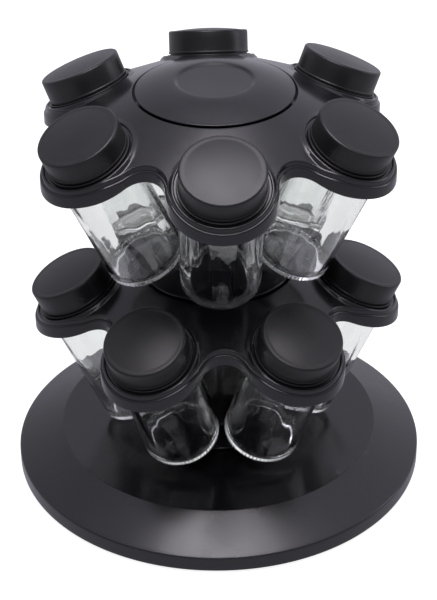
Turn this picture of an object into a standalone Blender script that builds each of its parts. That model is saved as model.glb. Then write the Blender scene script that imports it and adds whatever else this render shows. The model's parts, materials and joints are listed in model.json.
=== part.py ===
"""Two-tier spice carousel: glass jars hang tilted in two star-shaped tiers that turn on a round base.

Blender 4.5, metres, +Z up. The origin is the centre of the ground under the feet.
Every jar has its own frame: its origin is the middle of the jar's seat on the tier, and +Z runs out
along the jar's axis, through the lid.
"""

import math

import bmesh
import bpy
from mathutils import Matrix

MM = 0.001
GAP = 0.3 * MM  # kept between pieces that touch
PASS = 2.0 * MM  # a cutter's reach past the faces it cuts through

# Jars
JARS_PER_TIER = 6
TILT = math.radians(24.5)  # lean of a jar's axis from upright, which is also the slope of a tier
JAR_RADIUS = 24.0 * MM
JAR_DEPTH = 88.5 * MM  # from the seat down to the jar's bottom
JAR_WALL = 2.2 * MM
JAR_FLOOR = 2.8 * MM
JAR_FOOT_CHAMFER = 1.4 * MM
NECK_SETBACK = 3.4 * MM  # of the neck inside the jar's side
SHOULDER_HEIGHT = 4.6 * MM
JAR_SIDE_GAP = 1.45 * MM  # between the bottoms of neighbouring jars

# Lids and sifters
LID_OVERHANG = 0.6 * MM  # of the lid beyond the jar's side
LID_RISE = 16.7 * MM  # from the seat up to the middle of the lid
LID_DOME = 1.5 * MM  # from the lid's edge up to its middle
LID_WALL = 2.4 * MM
LID_TOP = 1.1 * MM  # thickness at the edge of the dome
LID_EDGE = 1.2 * MM
FLANGE_OVERHANG = 1.2 * MM  # the lid's foot flange beyond the lid
FLANGE_THICKNESS = 1.2 * MM
SIFTER_THICKNESS = 0.9 * MM
SIFTER_PLUG = 6.5 * MM
SIFTER_WALL = 1.2 * MM
SIFTER_HOLE_RADIUS = 2.2 * MM
SIFTER_HOLES = 3
SIFTER_HOLE_RING = 8.5 * MM

# Tiers
SEAT_CLEARANCE = 0.4 * MM  # between a jar and its hole
MOAT_WIDTH = 1.6 * MM  # open ring round the lid's flange
MOAT_DEPTH = 1.1 * MM
RIM_WIDTH = 4.4 * MM  # outside the moat
PLATFORM_RISE = 0.3 * MM  # of a jar's flat platform over the tier's cone
PLATFORM_MARGIN = 3.4 * MM  # from the platform to the lobe's edge
LOBE_SETBACK = 4.5 * MM  # lobe arcs lie this much nearer the axis than the seats
VALLEY_SETBACK = 3.2 * MM  # the outline's nearest point, inside the lobe centres
SKIRT_DEPTH = 9.5 * MM
TIER_WALL = 2.2 * MM
PLATFORM_THICKNESS = 3.4 * MM
TIER_GAP = 2.78 * MM  # from the lower lids up to the upper jars
JAR_FLOOR_GAP = 6.6 * MM  # from the base up to the lower jars

# Cap, columns and their seat in a tier
CAP_RADIUS = 47.6 * MM
CAP_CLEARANCE = 0.4 * MM
CAP_RISE = 6.3 * MM  # from the cap's edge up to its finger dish
CAP_THICKNESS = 2.0 * MM
CAP_EDGE = 0.7 * MM  # height of the cap's edge
CAP_OVERHANG = 3.4 * MM  # of the cap's edge over the ring it stands on
DISH_RADIUS = 23.7 * MM
DISH_FLOOR_RADIUS = 20.5 * MM
DISH_DEPTH = 1.2 * MM
SEAT_DEPTH = 7.0 * MM  # of the round seat that takes the cap or a column's foot
COLUMN_CLEARANCE = 3.55 * MM  # between a column and the jar bottoms
COLUMN_WALL = 2.0 * MM
FLANGE_EDGE = 1.4 * MM
PLUG_RADIUS = 34.0 * MM
BASE_FOOT_RADIUS = 40.0 * MM  # the lower column's foot, over the bearing well
FOOT_GAP = 0.8 * MM  # between the turning foot and the base
SOCKET_DEPTH = 6.0 * MM
SOCKET_WALL = 2.2 * MM

# Tie rod, bearing and base
ROD_RADIUS = 4.0 * MM
HEAD_RADIUS = 7.5 * MM
HEAD_HEIGHT = 3.2 * MM
HEAD_CLEARANCE = 0.9 * MM
WASHER_THICKNESS = 1.2 * MM
WASHER_RADIUS = 9.0 * MM
NUT_FLATS = 13.0 * MM
NUT_HEIGHT = 5.6 * MM
ROD_STICKOUT = 0.8 * MM
BUSH_WALL = 1.8 * MM
BUSH_FLANGE_RADIUS = 9.0 * MM
BUSH_FLANGE = 1.2 * MM
BALL_RADIUS = 1.6 * MM
BALL_COUNT = 8
BALL_RING_RADIUS = 25.0 * MM
CAGE_WIDTH = 5.0 * MM
CAGE_THICKNESS = 1.0 * MM
RACE_WIDTH = 10.0 * MM
RACE_THICKNESS = 1.5 * MM
WELL_CLEARANCE = 1.2 * MM
WELL_FLOOR = 2.4 * MM
BASE_OVERHANG = 15.2 * MM  # the base beyond the tiers
BASE_WALL = 2.5 * MM
RIM_HEIGHT = 9.5 * MM
RIM_ROUND = 1.0 * MM
BAND_WIDTH = 28.5 * MM  # the sloping band round the base
RIM_LIFT = 1.5 * MM  # the rim clear of the ground
PLATE_RECESS = 1.0 * MM
PLATE_THICKNESS = 2.0 * MM
PLATE_CLEARANCE = 0.5 * MM
FOOT_RADIUS = 9.0 * MM
FOOT_INSET = 14.0 * MM
FEET = 4
SCREWS = 3
SCREW_RING = 83.5 * MM
SCREW_RADIUS = 1.3 * MM
SCREW_HEAD_RADIUS = 3.2 * MM
SCREW_HEAD_HEIGHT = 1.2 * MM
SCREW_LENGTH = 9.0 * MM
PILOT_SPARE = 1.0 * MM
BOSS_RADIUS = 4.2 * MM

# Facets round a full turn
JAR_SIDES = 12
TURN_SIDES = 32
BASE_SIDES = 40
ROD_SIDES = 10
SMALL_SIDES = 6
LOBE_STEPS = 8
VALLEY_STEPS = 3

# Worked out from the sizes above
NECK_RADIUS = JAR_RADIUS - NECK_SETBACK
LID_RADIUS = JAR_RADIUS + LID_OVERHANG
LID_CEILING = LID_RISE - LID_DOME - LID_TOP
NECK_RISE = LID_CEILING - SIFTER_THICKNESS - 2 * GAP  # seat to jar mouth
HOLE_RADIUS = JAR_RADIUS + SEAT_CLEARANCE
FLANGE_RADIUS = LID_RADIUS + FLANGE_OVERHANG
MOAT_RADIUS = FLANGE_RADIUS + MOAT_WIDTH
LOBE_RADIUS = MOAT_RADIUS + RIM_WIDTH
MOAT_FLOOR = -MOAT_DEPTH
BOTTOM_RADIUS = (2 * JAR_RADIUS + JAR_SIDE_GAP) / (2 * math.sin(math.pi / JARS_PER_TIER))
SEAT_RADIUS = BOTTOM_RADIUS + JAR_DEPTH * math.sin(TILT)
LOBE_CENTRE = SEAT_RADIUS - LOBE_SETBACK
TIER_RADIUS = LOBE_CENTRE + LOBE_RADIUS
VALLEY_RADIUS = LOBE_CENTRE - VALLEY_SETBACK
COLUMN_RADIUS = BOTTOM_RADIUS - JAR_RADIUS * math.cos(TILT) - COLUMN_CLEARANCE
JAR_DROP = JAR_DEPTH * math.cos(TILT) + JAR_RADIUS * math.sin(TILT)
LID_REACH = (LID_RISE - LID_DOME) * math.cos(TILT) + LID_RADIUS * math.sin(TILT)
CAP_SEAT_RADIUS = CAP_RADIUS + CAP_CLEARANCE
ROD_HOLE_RADIUS = ROD_RADIUS + 0.4 * MM
PLATE_BOTTOM = RIM_LIFT + PLATE_RECESS
PLATE_TOP = PLATE_BOTTOM + PLATE_THICKNESS
HEAD_BOTTOM = PLATE_TOP + HEAD_CLEARANCE
LOWER_WASHER_BOTTOM = HEAD_BOTTOM + HEAD_HEIGHT + GAP
WELL_UNDERSIDE = LOWER_WASHER_BOTTOM + WASHER_THICKNESS + GAP
WELL_TOP = WELL_UNDERSIDE + WELL_FLOOR
RACE_TOP = WELL_TOP + GAP + RACE_THICKNESS
BALL_HEIGHT = RACE_TOP + GAP + BALL_RADIUS
LOWER_PLUG_BOTTOM = BALL_HEIGHT + BALL_RADIUS + GAP
PLUG_DEPTH = SEAT_DEPTH - GAP + CAP_CLEARANCE
PLATEAU_HEIGHT = LOWER_PLUG_BOTTOM + PLUG_DEPTH - FOOT_GAP
BASE_RADIUS = TIER_RADIUS + BASE_OVERHANG
PLATEAU_RADIUS = BASE_RADIUS - BAND_WIDTH
RIM_TOP = RIM_LIFT + RIM_HEIGHT
WELL_RADIUS = PLUG_RADIUS + WELL_CLEARANCE
LOWER_SEAT = PLATEAU_HEIGHT + JAR_FLOOR_GAP + JAR_DROP
UPPER_SEAT = LOWER_SEAT + LID_REACH + TIER_GAP + JAR_DROP
STAGGER = math.pi / JARS_PER_TIER  # the lower tier is turned by half a place

COLOURS = {
    "satin_black": ((0.028, 0.028, 0.031, 1.0), 0.42, 0.0),
    "lid_black": ((0.022, 0.022, 0.024, 1.0), 0.5, 0.0),
    "clear_glass": ((0.86, 0.9, 0.9, 1.0), 0.05, 0.0),
    "milky_plastic": ((0.78, 0.78, 0.75, 1.0), 0.45, 0.0),
    "steel": ((0.5, 0.5, 0.52, 1.0), 0.3, 1.0),
    "nylon": ((0.7, 0.69, 0.64, 1.0), 0.5, 0.0),
    "rubber": ((0.03, 0.03, 0.03, 1.0), 0.85, 0.0),
}


def material(name):
    """The named finish, made the first time it's asked for."""
    found = bpy.data.materials.get(name)
    if found:
        return found
    made = bpy.data.materials.new(name)
    made.use_nodes = True
    colour, roughness, metallic = COLOURS[name]
    shader = made.node_tree.nodes["Principled BSDF"]
    shader.inputs["Base Color"].default_value = colour
    shader.inputs["Roughness"].default_value = roughness
    shader.inputs["Metallic"].default_value = metallic
    made.diffuse_color = colour
    return made


def spin_profile(bm, profile, sides, matrix=None):
    """Turns a closed outline of (radius, height) points about Z, places it and adds the solid to bm."""
    verts = [bm.verts.new((radius, 0, height)) for radius, height in profile]
    pairs = zip(verts, verts[1:] + verts[:1])
    edges = [bm.edges.new(pair) for pair in pairs if pair[0].co.x > 0 or pair[1].co.x > 0]
    bmesh.ops.spin(bm, geom=verts + edges, axis=(0, 0, 1), cent=(0, 0, 0), steps=sides,
                   angle=2 * math.pi, use_merge=True)
    bmesh.ops.remove_doubles(bm, verts=[v for v in bm.verts if not v.tag], dist=1e-7)
    new = [v for v in bm.verts if not v.tag]
    if matrix is not None:
        bmesh.ops.transform(bm, matrix=matrix, verts=new)
    for vert in new:
        vert.tag = True


def mesh_from(name, bm, finish, sharp=35.0):
    """Closes bm into a mesh with outward faces, smooth where it bends less than sharp degrees."""
    bmesh.ops.recalc_face_normals(bm, faces=bm.faces)
    mesh = bpy.data.meshes.new(name)
    bm.to_mesh(mesh)
    bm.free()
    mesh.shade_smooth()
    mesh.set_sharp_from_angle(angle=math.radians(sharp))
    mesh.materials.append(material(finish))
    return mesh


def add_object(name, mesh, parent=None):
    """A new object that shows mesh."""
    obj = bpy.data.objects.new(name, mesh)
    bpy.context.scene.collection.objects.link(obj)
    obj.parent = parent
    return obj


def turned_mesh(name, profile, finish, sides=TURN_SIDES):
    bm = bmesh.new()
    spin_profile(bm, profile, sides)
    return mesh_from(name, bm, finish)


def turned(name, profile, finish, sides=TURN_SIDES, parent=None):
    """One solid of revolution about the carousel's axis."""
    return add_object(name, turned_mesh(name, profile, finish, sides), parent)


def ring_profile(inner, outer, low, high):
    return [(inner, low), (outer, low), (outer, high), (inner, high)]


def rod_profile(radius, low, high):
    return ring_profile(0, radius, low, high)


def prism_mesh(name, outline, low, high, finish="satin_black"):
    """A flat outline of (x, y) points, raised from low to high."""
    bm = bmesh.new()
    face = bm.faces.new([bm.verts.new((x, y, low)) for x, y in outline])
    raised = bmesh.ops.extrude_face_region(bm, geom=[face])
    top = [v for v in raised["geom"] if isinstance(v, bmesh.types.BMVert)]
    bmesh.ops.translate(bm, verts=top, vec=(0, 0, high - low))
    return mesh_from(name, bm, finish)


def circle(radius, sides, centre=(0.0, 0.0), start=0.0):
    """Points of a regular polygon whose corners lie on the circle."""
    turns = [start + 2 * math.pi * i / sides for i in range(sides)]
    return [(centre[0] + radius * math.cos(t), centre[1] + radius * math.sin(t)) for t in turns]


def helper(name, mesh):
    """An object that only cuts or trims others."""
    obj = add_object(name, mesh)
    obj.hide_render = True
    obj.display_type = "WIRE"
    return obj


def combine(target, other, operation):
    """Adds an exact Boolean of target with other."""
    step = target.modifiers.new(operation.lower(), "BOOLEAN")
    step.operation = operation
    step.solver = "EXACT"
    step.object = other
    return step


def seat_matrix(index, height, turn):
    """Frame of one jar seat: the seat's middle, with +Z out along the jar."""
    angle = turn + 2 * math.pi * index / JARS_PER_TIER - math.pi / 2
    spot = Matrix.Translation((SEAT_RADIUS * math.cos(angle), SEAT_RADIUS * math.sin(angle), height))
    return spot @ Matrix.Rotation(angle, 4, "Z") @ Matrix.Rotation(TILT, 4, "Y")


def seat_ring_mesh(name, profile, height, turn):
    """The same turned solid at each seat of a tier, in one mesh."""
    bm = bmesh.new()
    for index in range(JARS_PER_TIER):
        spin_profile(bm, profile, JAR_SIDES, seat_matrix(index, height, turn))
    return mesh_from(name, bm, "satin_black")


def arc(centre, radius, start, end, steps):
    """Points along an arc, without its last one."""
    turns = [start + (end - start) * i / steps for i in range(steps)]
    return [(centre[0] + radius * math.cos(t), centre[1] + radius * math.sin(t)) for t in turns]


def star_outline(turn, inset):
    """Outline of a tier seen from above: round lobes joined by round valleys, all tangent."""
    half = math.pi / JARS_PER_TIER
    a, v, r = LOBE_CENTRE, VALLEY_RADIUS, LOBE_RADIUS
    c = math.cos(half)
    # the valley's radius that makes its arc touch the lobes' arcs
    valley = (a * a + v * v - 2 * a * v * c - r * r) / (2 * (r + a * c - v))
    distance = v + valley
    lean = math.atan2(distance * math.sin(half), distance * c - a)
    points = []
    for index in range(JARS_PER_TIER):
        angle = turn + 2 * half * index - math.pi / 2
        lobe = (a * math.cos(angle), a * math.sin(angle))
        points += arc(lobe, r - inset, angle - lean, angle + lean, LOBE_STEPS)
        dip = (distance * math.cos(angle + half), distance * math.sin(angle + half))
        start = angle + lean + math.pi
        points += arc(dip, valley + inset, start, start + 2 * (half - lean), VALLEY_STEPS)
    return points


def tier_face(radius, seat_height):
    """Height of a tier's sloping face at a distance from the axis."""
    return seat_height - PLATFORM_RISE + math.tan(TILT) * (SEAT_RADIUS - radius)


def cap_seat_edge(seat_height):
    return tier_face(CAP_SEAT_RADIUS, seat_height)


def build_tier(name, seat_height, turn):
    """Star-shaped shell with a skirt, six stepped jar holes and a round seat in the middle."""
    def face(radius):
        return tier_face(radius, seat_height)

    outer = TIER_RADIUS + PASS
    drop = TIER_WALL / math.cos(TILT)
    low, high = seat_height - JAR_DEPTH, seat_height + JAR_DEPTH
    inner = CAP_SEAT_RADIUS
    ring_wall = inner + TIER_WALL

    tier = turned(name, [(inner, face(inner)), (inner, face(inner) - SKIRT_DEPTH),
                         (outer, face(outer) - SKIRT_DEPTH), (outer, face(outer))], "satin_black")
    edge = LOBE_RADIUS - PLATFORM_MARGIN
    disc = [(0, 0), (0, -PLATFORM_THICKNESS), (edge, -PLATFORM_THICKNESS), (edge, 0)]
    platforms = helper(name + "_platforms", seat_ring_mesh(name + "_platforms", disc, seat_height, turn))
    star = helper(name + "_star", prism_mesh(name + "_star", star_outline(turn, 0), low, high))
    room = helper(name + "_room", prism_mesh(name + "_room", star_outline(turn, TIER_WALL), low, high))
    under = helper(name + "_under", turned_mesh(name + "_under", [
        (ring_wall, face(ring_wall) - drop), (ring_wall, low + PASS), (outer, low + PASS),
        (outer, face(outer) - drop)], "satin_black"))
    combine(room, under, "INTERSECT")
    combine(room, platforms, "DIFFERENCE")

    floor_top = face(inner) - SEAT_DEPTH
    floor_under = floor_top - TIER_WALL
    mouth = COLUMN_RADIUS + CAP_CLEARANCE
    hub_rim = inner + TIER_WALL / 2
    hub = helper(name + "_hub", turned_mesh(name + "_hub", [
        (ROD_HOLE_RADIUS, floor_top), (hub_rim, floor_top), (hub_rim, floor_under),
        (mouth + SOCKET_WALL, floor_under), (mouth + SOCKET_WALL, floor_under - SOCKET_DEPTH),
        (mouth, floor_under - SOCKET_DEPTH), (mouth, floor_under), (ROD_HOLE_RADIUS, floor_under)],
        "satin_black"))
    pocket = [(0, LID_RISE), (0, -LID_RISE), (HOLE_RADIUS, -LID_RISE), (HOLE_RADIUS, MOAT_FLOOR),
              (MOAT_RADIUS, MOAT_FLOOR), (MOAT_RADIUS, LID_RISE)]
    pockets = helper(name + "_pockets", seat_ring_mesh(name + "_pockets", pocket, seat_height, turn))

    combine(tier, platforms, "UNION")
    combine(tier, star, "INTERSECT")
    combine(tier, room, "DIFFERENCE")
    combine(tier, hub, "UNION")
    combine(tier, pockets, "DIFFERENCE")
    return tier


def jar_profile():
    """Glass jar: a straight body, a short shoulder and a neck, open at the mouth."""
    bottom = -JAR_DEPTH
    shoulder = MOAT_FLOOR - GAP
    inside = JAR_RADIUS - JAR_WALL
    mouth = NECK_RADIUS - JAR_WALL
    return [
        (0, bottom), (JAR_RADIUS - JAR_FOOT_CHAMFER, bottom), (JAR_RADIUS, bottom + JAR_FOOT_CHAMFER),
        (JAR_RADIUS, shoulder - SHOULDER_HEIGHT), (NECK_RADIUS, shoulder), (NECK_RADIUS, NECK_RISE),
        (mouth, NECK_RISE), (mouth, shoulder - JAR_WALL / 4),
        (inside, shoulder - SHOULDER_HEIGHT - JAR_WALL / 4), (inside, bottom + JAR_FLOOR),
        (0, bottom + JAR_FLOOR)]


def lid_profile():
    """Lid: a domed top, a straight side and a foot flange that hangs in the tier's moat."""
    foot = MOAT_FLOOR + GAP
    flange_top = foot + FLANGE_THICKNESS
    inside = LID_RADIUS - LID_WALL
    edge = LID_RADIUS - LID_EDGE
    return [
        (0, LID_RISE), (edge / 2, LID_RISE - LID_DOME / 4), (edge, LID_RISE - LID_DOME),
        (LID_RADIUS, LID_RISE - LID_DOME - LID_EDGE), (LID_RADIUS, flange_top),
        (FLANGE_RADIUS, flange_top), (FLANGE_RADIUS, foot), (inside, foot), (inside, LID_CEILING),
        (0, LID_CEILING)]


def sifter_mesh():
    """Shaker insert: a thin deck with round holes on a plug that pushes into the jar's mouth."""
    top = NECK_RISE + GAP + SIFTER_THICKNESS
    under = NECK_RISE + GAP
    plug = NECK_RADIUS - JAR_WALL - GAP
    low = NECK_RISE - SIFTER_PLUG
    deck = turned_mesh("sifter_deck", [
        (0, under), (0, top), (NECK_RADIUS - GAP, top), (NECK_RADIUS - GAP, under), (plug, under),
        (plug, low), (plug - SIFTER_WALL, low), (plug - SIFTER_WALL, under)], "milky_plastic", JAR_SIDES)
    body = helper("sifter_body", deck)
    bm = bmesh.new()
    for x, y in circle(SIFTER_HOLE_RING, SIFTER_HOLES):
        drill = rod_profile(SIFTER_HOLE_RADIUS, low - PASS, top + PASS)
        spin_profile(bm, drill, SMALL_SIDES, Matrix.Translation((x, y, 0)))
    combine(body, helper("sifter_drills", mesh_from("sifter_drills", bm, "milky_plastic")), "DIFFERENCE")
    bpy.context.view_layer.update()
    shape = bpy.data.meshes.new_from_object(body.evaluated_get(bpy.context.evaluated_depsgraph_get()))
    shape.name = "sifter"
    return shape


def build_jars():
    """Twelve jars, each with its sifter and lid, in the frames of their seats."""
    jar = turned_mesh("jar", jar_profile(), "clear_glass", JAR_SIDES)
    lid = turned_mesh("lid", lid_profile(), "lid_black", JAR_SIDES)
    sifter = sifter_mesh()
    for tier, height, turn in (("upper", UPPER_SEAT, 0.0), ("lower", LOWER_SEAT, STAGGER)):
        for index in range(JARS_PER_TIER):
            label = f"{tier}_{index + 1}"
            frame = bpy.data.objects.new("seat_" + label, None)
            bpy.context.scene.collection.objects.link(frame)
            frame.matrix_world = seat_matrix(index, height, turn)
            for kind, mesh in (("jar", jar), ("sifter", sifter), ("lid", lid)):
                add_object(f"{kind}_{label}", mesh, frame)


def dome(radius, edge_height, inner_radius, outer_radius):
    """Height of the gently domed top shared by the cap and the columns' feet."""
    share = (radius - inner_radius) / (outer_radius - inner_radius)
    return edge_height + CAP_RISE * (1 - share ** 1.5)


def dome_points(edge_height, inner_radius, outer_radius, steps):
    radii = [inner_radius + (outer_radius - inner_radius) * i / steps for i in range(steps + 1)]
    return [(r, dome(r, edge_height, inner_radius, outer_radius)) for r in radii]


def build_column(name, foot_radius, flange_height, top):
    """Hollow column on a domed foot, with a plug and a web that the tie rod passes through."""
    plug_bottom = flange_height - PLUG_DEPTH
    edge = flange_height + FLANGE_EDGE
    bore = COLUMN_RADIUS - COLUMN_WALL
    turned(name, [
        (ROD_HOLE_RADIUS, plug_bottom), (ROD_HOLE_RADIUS, plug_bottom + TIER_WALL),
        (bore, plug_bottom + TIER_WALL), (bore, top), (COLUMN_RADIUS, top),
        *dome_points(edge, COLUMN_RADIUS, foot_radius, 3), (foot_radius, flange_height),
        (PLUG_RADIUS, flange_height), (PLUG_RADIUS, plug_bottom)], "satin_black")


def build_cap():
    """Domed cap with a finger dish, on a ring that stands in the upper tier's seat."""
    edge = cap_seat_edge(UPPER_SEAT)
    floor = edge - SEAT_DEPTH + GAP
    lip = CAP_RADIUS - CAP_OVERHANG
    ring = lip - CAP_THICKNESS
    crown = edge + CAP_RISE
    above = dome_points(edge, DISH_RADIUS, CAP_RADIUS, 3)
    below = [(r, z - CAP_THICKNESS) for r, z in above if r < ring]
    turned("top_cap", [
        (0, crown - DISH_DEPTH), (DISH_FLOOR_RADIUS, crown - DISH_DEPTH),
        *dome_points(edge, DISH_RADIUS, CAP_RADIUS, 4),
        (CAP_RADIUS, edge - CAP_EDGE), (lip, edge - CAP_EDGE),
        (lip, floor), (ring, floor), (ring, dome(ring, edge, DISH_RADIUS, CAP_RADIUS) - CAP_THICKNESS),
        *reversed(below), (DISH_FLOOR_RADIUS, crown - DISH_DEPTH - CAP_THICKNESS),
        (0, crown - DISH_DEPTH - CAP_THICKNESS)], "satin_black")


def build_fastening():
    """Tie rod with its head under the base, its nut under the cap and a washer at each end."""
    floor = cap_seat_edge(UPPER_SEAT) - SEAT_DEPTH
    washer = floor + GAP
    nut = washer + WASHER_THICKNESS + GAP
    rod_top = nut + NUT_HEIGHT + ROD_STICKOUT
    head_top = HEAD_BOTTOM + HEAD_HEIGHT
    turned("tie_rod", [(0, HEAD_BOTTOM), (HEAD_RADIUS, HEAD_BOTTOM), (HEAD_RADIUS, head_top),
                       (ROD_RADIUS, head_top), (ROD_RADIUS, rod_top), (0, rod_top)], "steel", ROD_SIDES)
    for name, low in (("rod_washer", LOWER_WASHER_BOTTOM), ("nut_washer", washer)):
        high = low + WASHER_THICKNESS
        turned(name, ring_profile(ROD_HOLE_RADIUS, WASHER_RADIUS, low, high), "steel", ROD_SIDES)
    corners = NUT_FLATS / math.sqrt(3)
    nut_top = nut + NUT_HEIGHT
    hexagon = add_object("tie_nut", prism_mesh("tie_nut", circle(corners, 6), nut, nut_top, "steel"))
    bore = prism_mesh("nut_bore", circle(ROD_HOLE_RADIUS, ROD_SIDES), nut - PASS, nut_top + PASS)
    combine(hexagon, helper("nut_bore", bore), "DIFFERENCE")


def build_bearing():
    """Flat race, a cage of balls and the flanged bush that the tie rod turns in."""
    ring, half = BALL_RING_RADIUS, RACE_WIDTH / 2
    turned("bearing_race", ring_profile(ring - half, ring + half, WELL_TOP + GAP, RACE_TOP), "steel")
    low, half = BALL_HEIGHT - CAGE_THICKNESS / 2, CAGE_WIDTH / 2
    cage = turned("ball_cage", ring_profile(ring - half, ring + half, low, low + CAGE_THICKNESS), "nylon")
    bm = bmesh.new()
    for x, y in circle(BALL_RING_RADIUS, BALL_COUNT, start=math.pi / TURN_SIDES):
        bmesh.ops.create_icosphere(bm, subdivisions=1, radius=BALL_RADIUS,
                                   matrix=Matrix.Translation((x, y, BALL_HEIGHT)))
    combine(cage, helper("balls", mesh_from("balls", bm, "steel")), "UNION")

    bore = ROD_RADIUS + GAP
    sleeve = bore + BUSH_WALL
    flange_low = WELL_TOP + GAP
    turned("pivot_bush", [
        (bore, WELL_UNDERSIDE), (sleeve, WELL_UNDERSIDE), (sleeve, flange_low),
        (BUSH_FLANGE_RADIUS, flange_low), (BUSH_FLANGE_RADIUS, flange_low + BUSH_FLANGE),
        (bore, flange_low + BUSH_FLANGE)], "nylon", ROD_SIDES)


def screw_places():
    return circle(SCREW_RING, SCREWS, start=math.pi / 2)


def build_base():
    """Domed base cover with a bearing well and screw bosses, its bottom plate, screws and rubber feet."""
    hole = ROD_RADIUS + GAP + BUSH_WALL + GAP
    inner_rim = BASE_RADIUS - BASE_WALL
    ceiling = PLATEAU_HEIGHT - BASE_WALL
    cover = turned("base_cover", [
        (hole, WELL_TOP), (WELL_RADIUS, WELL_TOP), (WELL_RADIUS, PLATEAU_HEIGHT),
        (PLATEAU_RADIUS, PLATEAU_HEIGHT),
        (BASE_RADIUS - RIM_ROUND, RIM_TOP), (BASE_RADIUS, RIM_TOP - RIM_ROUND), (BASE_RADIUS, RIM_LIFT),
        (inner_rim, RIM_LIFT), (inner_rim, RIM_TOP - BASE_WALL), (PLATEAU_RADIUS - BASE_WALL / 4, ceiling),
        (WELL_RADIUS + BASE_WALL, ceiling), (WELL_RADIUS + BASE_WALL, WELL_UNDERSIDE),
        (hole, WELL_UNDERSIDE)], "satin_black", BASE_SIDES)
    posts, pilots, holes = bmesh.new(), bmesh.new(), bmesh.new()
    pilot = SCREW_RADIUS + GAP
    pilot_top = PLATE_BOTTOM + SCREW_LENGTH + PILOT_SPARE
    post_low, post_top = PLATE_TOP + GAP, ceiling + BASE_WALL / 2
    for x, y in screw_places():
        spot = Matrix.Translation((x, y, 0))
        spin_profile(posts, rod_profile(BOSS_RADIUS, post_low, post_top), ROD_SIDES, spot)
        spin_profile(pilots, rod_profile(pilot, 0, pilot_top), SMALL_SIDES, spot)
        spin_profile(holes, rod_profile(pilot, 0, PLATE_TOP + PASS), SMALL_SIDES, spot)
    combine(cover, helper("bosses", mesh_from("bosses", posts, "satin_black")), "UNION")
    combine(cover, helper("pilots", mesh_from("pilots", pilots, "satin_black")), "DIFFERENCE")

    plate_radius = inner_rim - PLATE_CLEARANCE
    plate_profile = rod_profile(plate_radius, PLATE_BOTTOM, PLATE_TOP)
    plate = turned("base_plate", plate_profile, "satin_black", BASE_SIDES)
    combine(plate, helper("plate_holes", mesh_from("plate_holes", holes, "satin_black")), "DIFFERENCE")

    head_top = PLATE_BOTTOM - GAP
    head_bottom = head_top - SCREW_HEAD_HEIGHT
    screw = turned_mesh("base_screw", [
        (0, head_bottom), (SCREW_HEAD_RADIUS, head_bottom), (SCREW_HEAD_RADIUS, head_top),
        (SCREW_RADIUS, head_top),
        (SCREW_RADIUS, head_top + SCREW_LENGTH), (0, head_top + SCREW_LENGTH)], "steel", SMALL_SIDES)
    for index, (x, y) in enumerate(screw_places()):
        add_object(f"base_screw_{index + 1}", screw).location = (x, y, 0)

    foot_top = PLATE_BOTTOM - GAP
    foot = turned_mesh("rubber_foot", [(0, 0), (FOOT_RADIUS - 0.5 * MM, 0), (FOOT_RADIUS, 0.5 * MM),
                                       (FOOT_RADIUS, foot_top), (0, foot_top)], "rubber", JAR_SIDES)
    for index, (x, y) in enumerate(circle(inner_rim - FOOT_INSET, FEET, start=math.pi / 4)):
        add_object(f"rubber_foot_{index + 1}", foot).location = (x, y, 0)


def build():
    for obj in list(bpy.data.objects):
        bpy.data.objects.remove(obj, do_unlink=True)
    build_base()
    build_bearing()
    lower_foot = PLATEAU_HEIGHT + FOOT_GAP
    upper_foot = cap_seat_edge(LOWER_SEAT) + CAP_CLEARANCE
    seat_to_socket = SEAT_DEPTH + TIER_WALL + GAP
    build_column("lower_column", BASE_FOOT_RADIUS, lower_foot, cap_seat_edge(LOWER_SEAT) - seat_to_socket)
    build_tier("lower_tier", LOWER_SEAT, STAGGER)
    build_column("upper_column", CAP_RADIUS, upper_foot, cap_seat_edge(UPPER_SEAT) - seat_to_socket)
    build_tier("upper_tier", UPPER_SEAT, 0.0)
    build_cap()
    build_fastening()
    build_jars()


build()
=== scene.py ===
import json
import math

import bmesh
import bpy
import numpy as np
from mathutils import Matrix, Vector


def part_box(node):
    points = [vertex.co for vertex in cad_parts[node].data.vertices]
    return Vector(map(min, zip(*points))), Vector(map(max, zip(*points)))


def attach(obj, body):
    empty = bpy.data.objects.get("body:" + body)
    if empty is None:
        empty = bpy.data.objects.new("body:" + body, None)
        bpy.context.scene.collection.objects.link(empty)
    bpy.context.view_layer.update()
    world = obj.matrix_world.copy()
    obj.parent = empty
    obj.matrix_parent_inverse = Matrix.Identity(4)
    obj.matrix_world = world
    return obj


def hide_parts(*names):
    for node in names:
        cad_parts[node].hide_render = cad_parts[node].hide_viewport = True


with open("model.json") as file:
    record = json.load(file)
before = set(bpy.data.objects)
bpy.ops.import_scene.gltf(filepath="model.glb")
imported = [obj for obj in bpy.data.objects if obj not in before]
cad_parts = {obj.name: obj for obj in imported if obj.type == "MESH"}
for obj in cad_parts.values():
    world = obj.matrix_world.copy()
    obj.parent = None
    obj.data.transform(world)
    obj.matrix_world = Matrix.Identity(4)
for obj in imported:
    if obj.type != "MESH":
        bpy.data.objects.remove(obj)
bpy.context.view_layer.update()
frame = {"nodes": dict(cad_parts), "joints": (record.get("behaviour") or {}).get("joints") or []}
mm = 0.001
print("frame loaded:", len(frame["nodes"]), "CAD nodes")


# ---- node helpers

def feed(tree, socket, value):
    # a socket is linked from, anything else is a plain value
    if isinstance(value, bpy.types.NodeSocket):
        tree.links.new(value, socket)
    else:
        socket.default_value = value


def put(tree, kind, settings=None, **inputs):
    # adds one node; i0, i1 and so on are numbered inputs, the others go by name
    node = tree.nodes.new("ShaderNode" + kind)
    for key, value in (settings or {}).items():
        setattr(node, key, value)
    for key, value in inputs.items():
        numbered = key[0] == "i" and key[1:].isdigit()
        feed(tree, node.inputs[int(key[1:]) if numbered else key.replace("_", " ")], value)
    return node


def calc(tree, operation, first, second=0.0, third=0.0):
    return put(tree, "Math", {"operation": operation}, i0=first, i1=second, i2=third).outputs[0]


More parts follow.
